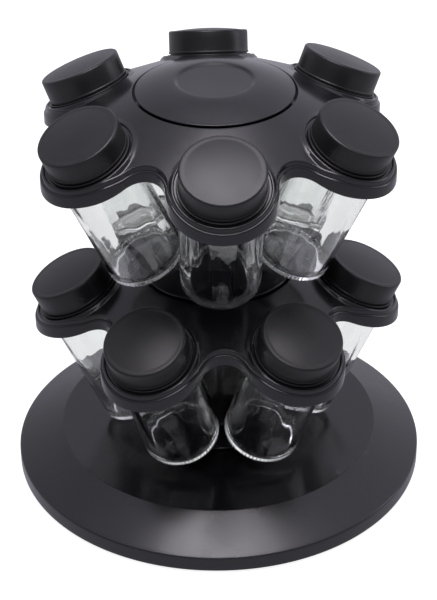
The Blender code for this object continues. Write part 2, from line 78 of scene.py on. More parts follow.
def remap(tree, value, fromLow, fromHigh, toLow=0.0, toHigh=1.0):
    node = put(tree, "MapRange", {"interpolation_type": "SMOOTHSTEP"}, Value=value)
    for key, number in (("From Min", fromLow), ("From Max", fromHigh), ("To Min", toLow), ("To Max", toHigh)):
        feed(tree, node.inputs[key], number)
    return node.outputs[0]


def mixColour(tree, share, first, second):
    node = put(tree, "Mix", {"data_type": "RGBA"})
    for number, value in ((0, share), (6, first), (7, second)):
        feed(tree, node.inputs[number], value)
    return node.outputs[2]


def axesMatrix(axes, spot):
    # a matrix whose columns are the three axes, placed at spot
    matrix = Matrix.Identity(4)
    for column, axis in enumerate(axes):
        for row in range(3):
            matrix[row][column] = axis[row]
    matrix.translation = spot
    return matrix


def mixShaders(tree, share, first, second, output):
    mix = tree.nodes.new("ShaderNodeMixShader")
    for number, socket in enumerate((share, first, second)):
        tree.links.new(socket, mix.inputs[number])
    tree.links.new(mix.outputs[0], output.inputs["Surface"])


# ---- camera, light and floor

view = {"lens": 114.5, "distance": 1.1887, "height": 0.1118, "elevation": 32.08, "azimuth": -2.5,
        "roll": -0.59, "aside": 0.0008}


def addCamera():
    data = bpy.data.cameras.new("camera")
    data.lens = view["lens"]
    data.sensor_width = 36.0
    data.clip_start = 0.01
    camera = bpy.data.objects.new("camera", data)
    bpy.context.scene.collection.objects.link(camera)
    elevation, roll = math.radians(view["elevation"]), math.radians(view["roll"])
    back = Vector((0, -math.cos(elevation), math.sin(elevation)))
    right, up = Vector((1, 0, 0)), Vector((0, math.sin(elevation), math.cos(elevation)))
    turnedRight = right * math.cos(roll) + up * math.sin(roll)
    turnedUp = up * math.cos(roll) - right * math.sin(roll)
    spot = Vector((0, 0, view["height"])) + back * view["distance"] + turnedRight * view["aside"]
    place = axesMatrix((turnedRight, turnedUp, back), spot)
    camera.matrix_world = Matrix.Rotation(math.radians(view["azimuth"]), 4, "Z") @ place
    bpy.context.scene.camera = camera


studio = {"white": (1.0, 1.0, 1.0, 1.0), "front": 0.34, "backLeft": 0.6, "backRight": 0.84, "top": 1.5,
          "tint": (0.9, 0.88, 1.0, 1.0), "boxTint": (0.985, 0.935, 1.0),
          "boxPower": 3.9, "boxSize": (0.5, 0.35), "boxPlace": (0.0, -0.095, 0.9),
          "sidePower": 1.2, "sideSize": (0.2, 0.7), "sidePlace": (1.1, 0.1, 0.5),
          "stripPower": 2.3, "stripSize": (0.55, 0.08), "stripPlace": (-0.03, -0.66, 1.2),
          "floorSize": 3.0, "floorColour": (0.45, 0.45, 0.45, 1.0), "floorGlow": 0.86, "floorDim": 0.6,
          "floorBehind": 0.95, "backdrop": (0.97, 0.975, 0.99, 1.0)}


def addLight(name, place, size, power, aim):
    data = bpy.data.lights.new(name, "AREA")
    data.shape = "RECTANGLE"
    data.size, data.size_y = size
    data.energy = power
    data.color = studio["boxTint"]
    light = bpy.data.objects.new(name, data)
    light.location = place
    light.rotation_euler = (Vector(aim) - Vector(place)).to_track_quat("-Z", "Y").to_euler()
    bpy.context.scene.collection.objects.link(light)


def addStudio():
    # the room is dark behind the camera and pale behind the piece; the backdrop itself is white
    scene = bpy.context.scene
    scene.view_settings.view_transform = "Standard"
    world = bpy.data.worlds.new("studio")
    world.use_nodes = True
    scene.world = world
    tree = world.node_tree
    tree.nodes.clear()
    output = tree.nodes.new("ShaderNodeOutputWorld")
    backdrop, room = tree.nodes.new("ShaderNodeBackground"), tree.nodes.new("ShaderNodeBackground")
    backdrop.inputs["Color"].default_value = studio["white"]
    room.inputs["Color"].default_value = studio["tint"]
    split = put(tree, "SeparateXYZ", Vector=put(tree, "TexCoord").outputs["Generated"])
    sideways = remap(tree, split.outputs[0], -0.6, 0.6, studio["backLeft"], studio["backRight"])
    level = remap(tree, split.outputs[1], -0.3, 0.3, studio["front"], sideways)
    level = calc(tree, "MULTIPLY", level, remap(tree, split.outputs[2], 0.75, 0.97, 1.0, studio["top"]))
    tree.links.new(level, room.inputs["Strength"])
    rays = put(tree, "LightPath")
    low = remap(tree, split.outputs[2], 0.02, 0.25, 1.0, 0.0)
    seen = calc(tree, "MULTIPLY", rays.outputs["Is Transmission Ray"], low)
    seen = calc(tree, "MAXIMUM", seen, rays.outputs["Is Camera Ray"])
    mixShaders(tree, seen, room.outputs[0], backdrop.outputs[0], output)
    boxPlace = studio["boxPlace"]
    addLight("overheadBox", boxPlace, studio["boxSize"], studio["boxPower"], (boxPlace[0], boxPlace[1], 0))
    addLight("frontStrip", studio["stripPlace"], studio["stripSize"], studio["stripPower"], (0, 0, 0.12))
    addLight("sideBox", studio["sidePlace"], studio["sideSize"], studio["sidePower"], (0, 0, 0.12))


def addFloor():
    # the floor is white to the camera and dimmer in reflections
    half = studio["floorSize"] / 2
    mesh = bpy.data.meshes.new("floor")
    mesh.from_pydata([(-half, -half, 0), (half, -half, 0), (half, half, 0), (-half, half, 0)], [],
                     [(0, 1, 2, 3)])
    finish = bpy.data.materials.new("paleFloor")
    finish.use_nodes = True
    tree = finish.node_tree
    shader, output = tree.nodes["Principled BSDF"], tree.nodes["Material Output"]
    shader.inputs["Base Color"].default_value = studio["floorColour"]
    shader.inputs["Roughness"].default_value = 0.9
    shader.inputs["Emission Color"].default_value = studio["white"]
    shader.inputs["Emission Strength"].default_value = studio["floorGlow"]
    rays = put(tree, "LightPath")
    through = rays.outputs["Is Transmission Ray"]
    glow = remap(tree, through, 0.0, 1.0, studio["floorDim"], studio["floorBehind"])
    tone = mixColour(tree, through, studio["tint"], studio["backdrop"])
    dim = put(tree, "Emission", Color=tone, Strength=glow)
    mixShaders(tree, rays.outputs["Is Camera Ray"], dim.outputs[0], shader.outputs[0], output)
    mesh.materials.append(finish)
    floor = bpy.data.objects.new("floor", mesh)
    bpy.context.scene.collection.objects.link(floor)


addCamera()
addStudio()
addFloor()
print("camera, light and floor are set")


# ---- shader groups and materials

def newGroup(name, inputs, outputs):
    tree = bpy.data.node_groups.new(name, "ShaderNodeTree")
    for label, kind, value in inputs:
        socket = tree.interface.new_socket(label, in_out="INPUT", socket_type=kind)
        socket.default_value = value
    for label, kind in outputs:
        tree.interface.new_socket(label, in_out="OUTPUT", socket_type=kind)
    return tree, tree.nodes.new("NodeGroupInput"), tree.nodes.new("NodeGroupOutput")


def grainGroup():
    # mould grain: fine noise gives the height, broad noise drifts the colour and the gloss
    tree, start, end = newGroup("mouldGrain", (
        ("Colour", "NodeSocketColor", (0.02, 0.02, 0.02, 1)),
        ("Second Colour", "NodeSocketColor", (0.03, 0.03, 0.03, 1)),
        ("Grain Scale", "NodeSocketFloat", 2200.0), ("Drift Scale", "NodeSocketFloat", 30.0),
        ("Roughness", "NodeSocketFloat", 0.35), ("Roughness Drift", "NodeSocketFloat", 0.06)),
        (("Colour", "NodeSocketColor"), ("Roughness", "NodeSocketFloat"), ("Height", "NodeSocketFloat")))
    place = put(tree, "TexCoord").outputs["Object"]
    fine = put(tree, "TexNoise", Vector=place, Scale=start.outputs["Grain Scale"], Detail=3.0, Roughness=0.6)
    broad = put(tree, "TexNoise", Vector=place, Scale=start.outputs["Drift Scale"], Detail=4.0,
                Roughness=0.55)
    drift = remap(tree, broad.outputs[0], 0.35, 0.65)
    colour = mixColour(tree, drift, start.outputs["Colour"], start.outputs["Second Colour"])
    shift = calc(tree, "MULTIPLY_ADD", drift, 2.0, -1.0)
    speckle = calc(tree, "MULTIPLY_ADD", fine.outputs[0], 2.0, -1.0)
    both = calc(tree, "ADD", shift, calc(tree, "MULTIPLY", speckle, 0.5))
    rough = calc(tree, "MULTIPLY_ADD", both, start.outputs["Roughness Drift"], start.outputs["Roughness"])
    for label, socket in (("Colour", colour), ("Roughness", rough), ("Height", fine.outputs[0])):
        tree.links.new(socket, end.inputs[label])
    return tree


def hairlineGroup():
    # hairline scratches: noise squeezed hard along one axis leaves thin streaks, in two crossing layers
    tree, start, end = newGroup("hairlines", (
        ("Stretch", "NodeSocketFloat", 60.0), ("Fineness", "NodeSocketFloat", 900.0),
        ("Angle", "NodeSocketFloat", 0.4), ("Amount", "NodeSocketFloat", 0.5)),
        (("Mask", "NodeSocketFloat"),))
    place = put(tree, "TexCoord").outputs["Object"]
    bend = put(tree, "TexNoise", Vector=place, Scale=9.0, Detail=1.0)
    bent = put(tree, "VectorMath", {"operation": "MULTIPLY_ADD"}, i0=bend.outputs["Color"],
               i1=(0.02, 0.02, 0.02), i2=place).outputs[0]
    masks = []
    for side in (1.0, -1.6):
        angle = calc(tree, "MULTIPLY", start.outputs["Angle"], side)
        turned = put(tree, "VectorRotate", {"rotation_type": "Z_AXIS"}, Vector=bent, Angle=angle).outputs[0]
        parts = put(tree, "SeparateXYZ", Vector=turned)
        along = calc(tree, "MULTIPLY", parts.outputs[0], start.outputs["Stretch"])
        across = calc(tree, "MULTIPLY", parts.outputs[1], start.outputs["Fineness"])
        upward = calc(tree, "MULTIPLY", parts.outputs[2], start.outputs["Fineness"])
        squeezed = put(tree, "CombineXYZ", X=along, Y=across, Z=upward).outputs[0]
        streaks = put(tree, "TexNoise", Vector=squeezed, Scale=1.0, Detail=2.0, Roughness=0.7)
        masks.append(remap(tree, streaks.outputs[0], 0.66, 0.74))
    joined = calc(tree, "MAXIMUM", masks[0], masks[1])
    tree.links.new(calc(tree, "MULTIPLY", joined, start.outputs["Amount"]), end.inputs["Mask"])
    return tree


def edgeGroup():
    # edge wear and painted highlight: convex edges are lightened, a little wear but mostly a painted
    # highlight along crisp rims, broken up by noise
    tree, start, end = newGroup("edgeWearAndHighlight", (
        ("Low", "NodeSocketFloat", 0.52), ("High", "NodeSocketFloat", 0.6),
        ("Break Up", "NodeSocketFloat", 140.0)),
        (("Mask", "NodeSocketFloat"),))
    place = put(tree, "TexCoord").outputs["Object"]
    sharp = put(tree, "NewGeometry").outputs["Pointiness"]
    mask = remap(tree, sharp, start.outputs["Low"], start.outputs["High"])
    spots = put(tree, "TexNoise", Vector=place, Scale=start.outputs["Break Up"], Detail=4.0)
    broken = remap(tree, spots.outputs[0], 0.35, 0.7)
    tree.links.new(calc(tree, "MULTIPLY", mask, broken), end.inputs["Mask"])
    return tree


def dustGroup():
    # dust: specks on faces that look up
    tree, start, end = newGroup("dust", (
        ("Speck Scale", "NodeSocketFloat", 650.0), ("Amount", "NodeSocketFloat", 0.5)),
        (("Mask", "NodeSocketFloat"),))
    place = put(tree, "TexCoord").outputs["Object"]
    facing = put(tree, "SeparateXYZ", Vector=put(tree, "NewGeometry").outputs["Normal"]).outputs[2]
    lifted = remap(tree, facing, 0.3, 0.9)
    specks = put(tree, "TexVoronoi", Vector=place, Scale=start.outputs["Speck Scale"])
    dots = remap(tree, specks.outputs["Distance"], 0.16, 0.05)
    pick = put(tree, "TexWhiteNoise", Vector=specks.outputs["Position"]).outputs["Value"]
    few = calc(tree, "GREATER_THAN", pick, 0.93)
    cloud = put(tree, "TexNoise", Vector=place, Scale=60.0, Detail=5.0).outputs[0]
    haze = remap(tree, cloud, 0.5, 0.8, 0.0, 0.25)
    total = calc(tree, "ADD", calc(tree, "MULTIPLY", dots, few), haze)
    shown = calc(tree, "MULTIPLY", calc(tree, "MULTIPLY", total, lifted), start.outputs["Amount"])
    tree.links.new(shown, end.inputs["Mask"])
    return tree


groups = {"grain": grainGroup(), "hairlines": hairlineGroup(), "edges": edgeGroup(), "dust": dustGroup()}


def useGroup(tree, name, **inputs):
    node = tree.nodes.new("ShaderNodeGroup")
    node.node_tree = groups[name]
    for key, value in inputs.items():
        feed(tree, node.inputs[key.replace("_", " ")], value)
    return node


def newMaterial(name):
    material = bpy.data.materials.new(name)
    material.use_nodes = True
    tree = material.node_tree
    return material, tree, tree.nodes["Principled BSDF"]


def setShader(tree, shader, **inputs):
    for key, value in inputs.items():
        feed(tree, shader.inputs[key.replace("_", " ")], value)


def addBump(tree, shader, height, strength, distance):
    bump = put(tree, "Bump", None, Height=height, Strength=strength, Distance=distance)
    tree.links.new(bump.outputs[0], shader.inputs["Normal"])


# each plastic's edge colour lightens convex edges: a little wear, mostly a painted highlight along the rims
plastics = {
    "satinBlack": {"colour": (0.0068, 0.0066, 0.0078, 1), "second": (0.0088, 0.0085, 0.0102, 1),
                   "roughness": 0.2, "drift": 0.02, "grain": 2600.0, "bump": 0.1,
                   "wornAndHighlit": (0.03, 0.029, 0.033, 1), "wearAndHighlightShare": 0.35, "dust": 0.012, "scratch": 0.3,
                   "specular": 0.5},
    "lidBlack": {"colour": (0.0066, 0.0065, 0.0072, 1), "second": (0.0082, 0.008, 0.0088, 1),
                 "roughness": 0.38, "drift": 0.03, "grain": 3400.0, "bump": 0.16,
                 "wornAndHighlit": (0.03, 0.029, 0.032, 1), "wearAndHighlightShare": 0.3, "dust": 0.02, "scratch": 0.2,
                 "specular": 0.41},
    "nylon": {"colour": (0.62, 0.61, 0.56, 1), "second": (0.7, 0.69, 0.64, 1),
              "roughness": 0.45, "drift": 0.05, "grain": 1500.0, "bump": 0.1,
              "wornAndHighlit": (0.75, 0.74, 0.7, 1), "wearAndHighlightShare": 0.3, "dust": 0.0, "scratch": 0.1, "specular": 0.4},
}


def plasticMaterial(name):
    recipe = plastics[name]
    material, tree, shader = newMaterial(name)
    grain = useGroup(tree, "grain", Colour=recipe["colour"], Second_Colour=recipe["second"],
                     Grain_Scale=recipe["grain"], Roughness=recipe["roughness"],
                     Roughness_Drift=recipe["drift"])
    lines = useGroup(tree, "hairlines", Amount=recipe["scratch"])
    edges = useGroup(tree, "edges")
    dust = useGroup(tree, "dust", Amount=recipe["dust"])
    # convex edges painted lighter: a little wear, mostly a painted highlight along the rims
    wornAndHighlit = calc(tree, "MULTIPLY", edges.outputs[0], recipe["wearAndHighlightShare"])
    colour = mixColour(tree, wornAndHighlit, grain.outputs["Colour"], recipe["wornAndHighlit"])
    colour = mixColour(tree, dust.outputs[0], colour, (0.5, 0.49, 0.48, 1))
    rough = calc(tree, "MULTIPLY_ADD", lines.outputs[0], 0.12, grain.outputs["Roughness"])
    rough = calc(tree, "MULTIPLY_ADD", dust.outputs[0], 0.4, rough)
    setShader(tree, shader, Base_Color=colour, Roughness=rough, Specular_IOR_Level=recipe["specular"])
    height = calc(tree, "MULTIPLY_ADD", lines.outputs[0], -0.6, grain.outputs["Height"])
    addBump(tree, shader, height, recipe["bump"], 0.00005)
    return material


baseFinish = {"colour": (0.0055, 0.0053, 0.0062, 1), "band": (0.0078, 0.0075, 0.0088, 1), "discGloss": 0.2,
              "bandGloss": 0.27}


def baseMaterial(discRadius):
    # the flat disc is glossier than the sloping band and the rim around it
    material, tree, shader = newMaterial("baseBlack")
    place = put(tree, "TexCoord").outputs["Object"]
    flat = put(tree, "VectorMath", {"operation": "MULTIPLY"}, i0=place, i1=(1.0, 1.0, 0.0)).outputs[0]
    away = put(tree, "VectorMath", {"operation": "LENGTH"}, i0=flat).outputs["Value"]
    onBand = remap(tree, away, discRadius - 0.2 * mm, discRadius + 0.2 * mm)
    grain = useGroup(tree, "grain", Grain_Scale=2400.0, Drift_Scale=22.0, Roughness=0.0, Roughness_Drift=0.03)
    for socket in ("Colour", "Second Colour"):
        tone = mixColour(tree, onBand, baseFinish["colour"], baseFinish["band"])
        tree.links.new(tone, grain.inputs[socket])
    gloss = remap(tree, onBand, 0.0, 1.0, baseFinish["discGloss"], baseFinish["bandGloss"])
    lines = useGroup(tree, "hairlines", Amount=0.05, Stretch=22.0, Fineness=1100.0, Angle=0.1)
    edges = useGroup(tree, "edges", Low=0.51, High=0.56)
    dust = useGroup(tree, "dust", Amount=0.015)
    # convex edges painted lighter: a little wear, mostly a painted highlight along the rims
    colour = mixColour(tree, calc(tree, "MULTIPLY", edges.outputs[0], 0.5), grain.outputs["Colour"],
                       (0.06, 0.059, 0.064, 1))
    colour = mixColour(tree, dust.outputs[0], colour, (0.5, 0.49, 0.48, 1))
    rough = calc(tree, "ADD", gloss, grain.outputs["Roughness"])
    rough = calc(tree, "MULTIPLY_ADD", lines.outputs[0], 0.14, rough)
    setShader(tree, shader, Base_Color=colour, Roughness=rough, Specular_IOR_Level=0.55)
    height = calc(tree, "MULTIPLY_ADD", lines.outputs[0], -0.8, grain.outputs["Height"])
    addBump(tree, shader, height, 0.04, 0.00005)
    return material


glassFinish = {"colour": (0.935, 0.945, 0.94, 1), "clearer": (0.965, 0.972, 0.968, 1), "ior": 1.5,
               "ripple": 55.0, "rippleBump": 0.2, "stretch": (1.0, 1.0, 0.06), "streaks": 420.0,
               "streakDepth": 0.35}


def glassMaterial():
    # pressed glass: slow ripples and drawn streaks in the normal
    material, tree, shader = newMaterial("clearGlass")
    place = put(tree, "Attribute", {"attribute_name": "local"}).outputs["Vector"]
    ripple = put(tree, "TexNoise", Vector=place, Scale=glassFinish["ripple"], Detail=2.0)
    drawn = put(tree, "VectorMath", {"operation": "MULTIPLY"}, i0=place, i1=glassFinish["stretch"]).outputs[0]
    streaks = put(tree, "TexNoise", Vector=drawn, Scale=glassFinish["streaks"], Detail=3.0, Roughness=0.6)
    height = calc(tree, "MULTIPLY_ADD", streaks.outputs[0], glassFinish["streakDepth"], ripple.outputs[0])
    tint = remap(tree, ripple.outputs[0], 0.3, 0.7)
    colour = mixColour(tree, tint, glassFinish["colour"], glassFinish["clearer"])
    smear = put(tree, "TexNoise", Vector=place, Scale=24.0, Detail=5.0, Roughness=0.65)
    rough = remap(tree, smear.outputs[0], 0.5, 0.75, 0.0, 0.05)
    setShader(tree, shader, Metallic=0.0, Transmission_Weight=1.0, IOR=glassFinish["ior"], Base_Color=colour,
              Roughness=rough)
    addBump(tree, shader, height, glassFinish["rippleBump"], 0.0004)
    return material


def sifterMaterial():
    material, tree, shader = newMaterial("milkyPlastic")
    grain = useGroup(tree, "grain", Colour=(0.74, 0.745, 0.73, 1), Second_Colour=(0.8, 0.8, 0.785, 1),
                     Grain_Scale=1800.0, Roughness=0.38, Roughness_Drift=0.05)
    setShader(tree, shader, Base_Color=grain.outputs["Colour"], Roughness=grain.outputs["Roughness"],
              Subsurface_Weight=0.25, Subsurface_Radius=(0.002, 0.002, 0.0018))
    addBump(tree, shader, grain.outputs["Height"], 0.1, 0.00005)
    return material


def steelMaterial():
    # zinc plate: blotchy gloss with fine hairlines
    material, tree, shader = newMaterial("zincSteel")
    grain = useGroup(tree, "grain", Colour=(0.5, 0.5, 0.52, 1), Second_Colour=(0.6, 0.6, 0.61, 1),
                     Grain_Scale=1200.0, Drift_Scale=180.0, Roughness=0.3, Roughness_Drift=0.1)
    lines = useGroup(tree, "hairlines", Amount=0.7, Stretch=150.0, Fineness=2500.0)
    rough = calc(tree, "MULTIPLY_ADD", lines.outputs[0], 0.2, grain.outputs["Roughness"])
    setShader(tree, shader, Base_Color=grain.outputs["Colour"], Roughness=rough, Metallic=1.0)
    addBump(tree, shader, grain.outputs["Height"], 0.1, 0.00005)
    return material


def rubberMaterial():
    material, tree, shader = newMaterial("feetRubber")
    grain = useGroup(tree, "grain", Colour=(0.018, 0.018, 0.018, 1), Second_Colour=(0.03, 0.03, 0.03, 1),
                     Grain_Scale=1400.0, Roughness=0.8, Roughness_Drift=0.1)
    dust = useGroup(tree, "dust", Amount=0.2)
    colour = mixColour(tree, dust.outputs[0], grain.outputs["Colour"], (0.4, 0.39, 0.38, 1))
    setShader(tree, shader, Base_Color=colour, Roughness=grain.outputs["Roughness"])
    addBump(tree, shader, grain.outputs["Height"], 0.4, 0.0001)
    return material


# ---- shared shapes

def roundedPath(corners, steps=5, closed=False):
    # straight runs between (radius, height, rounding) corners; each rounding is an arc that touches both runs
    corners = np.array(corners, float)
    count = len(corners)
    path = []
    for index in range(count):
        here, rounding = corners[index, :2], corners[index, 2]
        if rounding <= 0 or (not closed and index in (0, count - 1)):
            path.append(here)
            continue
        before = corners[index - 1, :2] - here
        after = corners[(index + 1) % count, :2] - here
        before, after = before / np.linalg.norm(before), after / np.linalg.norm(after)
        half = math.acos(np.clip(before @ after, -1, 1)) / 2
        if half > math.pi / 2 - 0.02:
            path.append(here)
            continue
        middle = (before + after) / np.linalg.norm(before + after)
        centre = here + middle * rounding / math.sin(half)
        first = here + before * rounding / math.tan(half) - centre
        last = here + after * rounding / math.tan(half) - centre
        sweep = math.atan2(first[0] * last[1] - first[1] * last[0], first @ last)
        for share in np.linspace(0, 1, steps + 1):
            angle = sweep * share
            path.append(centre + np.array((first[0] * math.cos(angle) - first[1] * math.sin(angle),
                                           first[0] * math.sin(angle) + first[1] * math.cos(angle))))
    return np.array(path)


def gridFaces(rows, columns, wrapRows, wrapColumns):
    # quads between neighbouring points of a rows by columns grid
    index = np.arange(rows * columns).reshape(rows, columns)
    if wrapRows:
        index = np.vstack((index, index[:1]))
    if wrapColumns:
        index = np.hstack((index, index[:, :1]))
    return np.stack((index[:-1, :-1], index[:-1, 1:], index[1:, 1:], index[1:, :-1]), -1).reshape(-1, 4)


def turnedGrid(profile, sides):
    # point = (radius cos a, radius sin a, height) for every profile point and angle a
    angles = np.arange(sides) * 2 * math.pi / sides
    radius, height = profile[:, :1], profile[:, 1:2]
    return np.stack((radius * np.cos(angles), radius * np.sin(angles), height + 0 * angles), -1)


def placed(points, matrix):
    return points.reshape(-1, 3) @ np.array(matrix)[:3, :3].T + np.array(matrix)[:3, 3]


def buildMesh(name, parts, sharp=40.0, local=None):
    # one mesh from (points, quads) grids: doubles merged, normals outwards; local is kept as an attribute
    points = np.vstack([part[0].reshape(-1, 3) for part in parts])
    starts = np.cumsum([0] + [part[0].reshape(-1, 3).shape[0] for part in parts[:-1]])
    faces = np.vstack([part[1] + start for part, start in zip(parts, starts)])
    mesh = bpy.data.meshes.new(name)
    mesh.vertices.add(len(points))
    mesh.vertices.foreach_set("co", points.astype(np.float32).ravel())
    mesh.loops.add(faces.size)
    mesh.loops.foreach_set("vertex_index", faces.astype(np.int32).ravel())
    mesh.polygons.add(len(faces))
    mesh.polygons.foreach_set("loop_start", np.arange(0, faces.size, 4, dtype=np.int32))
    mesh.update(calc_edges=True)
    mesh.validate()
    if local is not None:
        mesh.attributes.new("local", "FLOAT_VECTOR", "POINT").data.foreach_set("vector", local.ravel())
    bm = bmesh.new()
    bm.from_mesh(mesh)
    bmesh.ops.remove_doubles(bm, verts=bm.verts, dist=2e-6)
    bmesh.ops.recalc_face_normals(bm, faces=bm.faces)
    bm.to_mesh(mesh)
    bm.free()
    mesh.shade_smooth()
    mesh.set_sharp_from_angle(angle=math.radians(sharp))
    return mesh


def addPiece(name, mesh, material, body, stands=None):
    piece = bpy.data.objects.new(name, mesh)
    bpy.context.scene.collection.objects.link(piece)
    mesh.materials.append(material)
    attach(piece, body)
    if stands:
        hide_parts(stands)
    return piece


def turnedPiece(name, profile, sides, material, body, stands=None, centre=(0, 0, 0), closed=True):
    # a solid of revolution about the upright through centre
    grid = turnedGrid(profile, sides) + np.array(centre)
    mesh = buildMesh(name, [(grid, gridFaces(len(profile), sides, closed, True))])
    return addPiece(name, mesh, material, body, stands)


# ---- seats: where each jar hangs, from the frame

seatDepths = {"lidFoot": 0.8 * mm}   # the lid's foot hangs this far under the seat's face


def readSeats():
    axes = {joint["child"]: Vector(joint["axis"]).normalized() for joint in frame["joints"]}
    found = {}
    for node, thing in frame["nodes"].items():
        if not node.startswith("lid_"):
            continue
        axis = axes[node]
        points = np.unique(np.round([vertex.co[:] for vertex in thing.data.vertices], 6), axis=0)
        middle = Vector(points.mean(0))
        along = (points - np.array(middle)) @ np.array(axis)
        seat = middle + axis * (along.min() + seatDepths["lidFoot"])
        out = Vector((axis.x, axis.y, 0)).normalized()
        aside = Vector((0, 0, 1)).cross(out)
        down = aside.cross(axis)
        found[node[4:]] = {"matrix": axesMatrix((down, aside, axis), seat), "angle": math.atan2(out.y, out.x),
                           "radius": seat.xy.length, "height": seat.z, "tilt": math.acos(axis.z)}
    return found


seats = readSeats()
print("seats read:", len(seats))


# ---- jars

jar = {"depth": 88.5, "radius": 24.0, "wall": 2.1, "floor": 3.2, "heel": 1.0, "corner": 1.8, "pushUp": 1.6,
       "foot": 21.9, "shoulderLow": -6.0, "shoulderHigh": -1.4, "neck": 20.4, "mouth": 12.4, "lip": 0.9,
       "sides": 288, "longest": 4.5, "ticks": 64, "tickDepth": 0.55, "ripple": 0.13,
       "threadLow": 3.2, "threadPitch": 3.6, "threadTurns": 1.4, "threadHeight": 0.9, "threadWidth": 1.0,
       "markPlace": 9.5, "markHigh": 2.2, "markLong": 4.2, "markPitch": 2.4, "markDepth": 0.5}


def jarProfiles():
    # close rows where the mould marks stand under the floor, and where the thread runs round the neck
    bottom, radius, inside = -jar["depth"], jar["radius"], jar["radius"] - jar["wall"]
    bore = jar["neck"] - jar["wall"]
    reach = jar["markHigh"] + 0.6
    marked = [(radius, bottom + jar["pushUp"], 0) for radius in
              np.linspace(jar["markPlace"] - reach, jar["markPlace"] + reach, 17)]
    outer = roundedPath([
        (0, bottom + jar["pushUp"], 0), *marked, (jar["foot"] - 4.0, bottom + jar["pushUp"], 1.5),
        (jar["foot"] - 1.6, bottom, 0.7), (jar["foot"] + 0.4, bottom, 0.4),
        (radius, bottom + jar["heel"], 0.8), (radius, jar["shoulderLow"], 2.0),
        (jar["neck"], jar["shoulderHigh"], 1.2),
        *[(jar["neck"], height, 0) for height in np.linspace(1.0, 10.0, 9)],
        (jar["neck"], jar["mouth"], jar["lip"]), (jar["neck"] - jar["wall"] / 2, jar["mouth"], 0)], 4)
    inner = roundedPath([
        (jar["neck"] - jar["wall"] / 2, jar["mouth"], 0), (bore, jar["mouth"], jar["lip"]),
        (bore, jar["shoulderHigh"] - 0.9, 1.4), (inside, jar["shoulderLow"] - 1.0, 2.0),
        (inside, bottom + jar["floor"], jar["corner"]), (0, bottom + jar["floor"] + 0.8, 0)], 4)
    return resampled(outer, jar["longest"]), resampled(inner, jar["longest"])


def resampled(path, longest):
    # long straight runs are split so that no step is longer than longest
    pieces = [path[:1]]
    for first, last in zip(path[:-1], path[1:]):
        count = max(1, math.ceil(np.linalg.norm(last - first) / longest))
        pieces.append(first + (last - first) * np.linspace(0, 1, count + 1)[1:, None])
    return np.vstack(pieces)


def threadHeight(angles, heights):
    # a helix: the nearest turn's distance sets a bell-shaped ridge, faded in and out at its ends
    place = (heights - jar["threadLow"]) / jar["threadPitch"] - angles / (2 * math.pi)
    turn = np.round(place)
    travelled = turn + angles / (2 * math.pi)
    ridge = np.exp(-((place - turn) * jar["threadPitch"] / jar["threadWidth"]) ** 2)
    fade = np.clip(travelled / 0.12, 0, 1) * np.clip((jar["threadTurns"] - travelled) / 0.12, 0, 1)
    return jar["threadHeight"] * ridge * fade


def mouldMarks(x, y):
    # short raised bars side by side, like a mould's cavity mark
    inRow = np.clip((jar["markHigh"] - abs(x - jar["markPlace"])) / 0.4, 0, 1)
    inLine = np.clip((jar["markLong"] - abs(y)) / 0.4, 0, 1)
    bars = np.clip((np.sin(2 * math.pi * y / jar["markPitch"]) + 0.1) / 0.5, 0, 1)
    return jar["markDepth"] * inRow * inLine * bars


def jarGrid(phase):
    outer, inner = jarProfiles()
    angles = np.arange(jar["sides"]) * 2 * math.pi / jar["sides"]
    radius, height = outer[:, :1] + 0 * angles, outer[:, 1:2] + 0 * angles
    onNeck = (height > jar["shoulderHigh"] + 0.8) & (height < jar["mouth"] - 1.0)
    radius = radius + np.where(onNeck, threadHeight(angles, height), 0)
    # knurled ticks round the bottom, where the jar would stand
    onFoot = np.exp(-((radius - jar["foot"] - 0.8) / 1.6) ** 2) * (height < 2.0 - jar["depth"])
    tick = onFoot * np.clip(3 * np.cos(jar["ticks"] * angles), -1, 1)
    lift = jar["tickDepth"] * (1 + tick) * onFoot
    radius, height = radius - lift / 2, height + lift
    below = height < 0.2 + jar["pushUp"] - jar["depth"]
    height = height - below * mouldMarks(radius * np.cos(angles), radius * np.sin(angles))
    outside = np.stack((radius, height), -1)
    # the blown inside wall is a little uneven
    body = np.clip((inner[:, 1:2] + jar["depth"] - jar["floor"] - 3) / 8, 0, 1)
    body = body * np.clip((jar["shoulderLow"] - inner[:, 1:2]) / 8, 0, 1)
    wave = np.sin(3 * angles + phase + 0.05 * inner[:, 1:2]) + 0.7 * np.sin(7 * angles - 2 * phase)
    wave = wave + 0.45 * np.sin(13 * angles + 3 * phase + 0.08 * inner[:, 1:2])
    radius, height = inner[:, :1] + jar["ripple"] * body * wave, inner[:, 1:2] + 0 * angles
    inside = np.stack((radius, height), -1)
    both = np.vstack((outside, inside[1:])) * mm
    return np.stack((both[..., 0] * np.cos(angles), both[..., 0] * np.sin(angles), both[..., 1]), -1)


def addJars(material):
    for number, (label, seat) in enumerate(sorted(seats.items())):
        grid = jarGrid(1.7 * number)
        points = placed(grid, seat["matrix"])
        faces = gridFaces(grid.shape[0], jar["sides"], False, True)
        local = grid.reshape(-1, 3).astype(np.float32)
        mesh = buildMesh("glassJar_" + label, [(points, faces)], 50.0, local)
        addPiece("glassJar_" + label, mesh, material, "jar_" + label, "jar_" + label)


# ---- lids

lid = {"rise": 16.7, "dome": 1.5, "domeRadius": 21.2, "radius": 24.6, "inside": 22.2, "edge": 1.3,
       "grooveLow": 0.45, "grooveHigh": 1.05, "grooveDepth": 0.55, "bead": 0.3, "beadHigh": 2.1,
       "flange": 25.8, "flangeTop": 0.4, "foot": -0.8, "top": 1.1, "sides": 144, "longest": 4.0}


